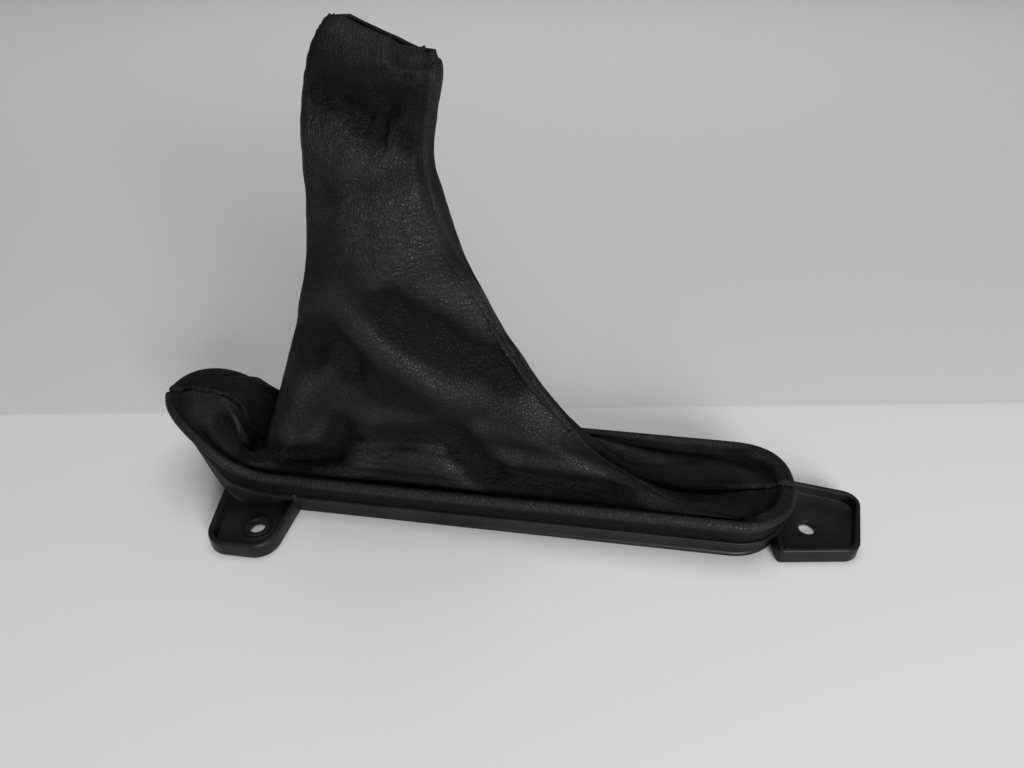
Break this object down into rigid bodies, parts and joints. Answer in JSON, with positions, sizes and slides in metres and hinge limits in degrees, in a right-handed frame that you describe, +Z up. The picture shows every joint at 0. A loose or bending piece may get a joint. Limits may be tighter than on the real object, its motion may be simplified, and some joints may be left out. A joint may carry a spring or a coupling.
{
  "type": "lever gaiter trim",
  "caption": "Folded leatherette lever gaiter rising from a long narrow plastic base frame with an upswept nose and tray-shaped screw tabs.",
  "frame": {"origin": "centre of the bounding box at its lowest face, which is the face the screw tabs lie on", "axes": "+Z up from the mounting face, +X along the frame from its upswept nose to the round end, -Y towards the side that carries the side screw tab"},
  "size_m": [0.255, 0.065, 0.166],
  "materials": {
    "black_plastic": "satin moulded black",
    "black_leatherette": "grained, soft sheen"
  },
  "bodies": {
    "root": {"base_frame": "black_plastic", "gaiter_near_panel": "black_leatherette", "gaiter_far_panel": "black_leatherette"}
  },
  "joints": []
}
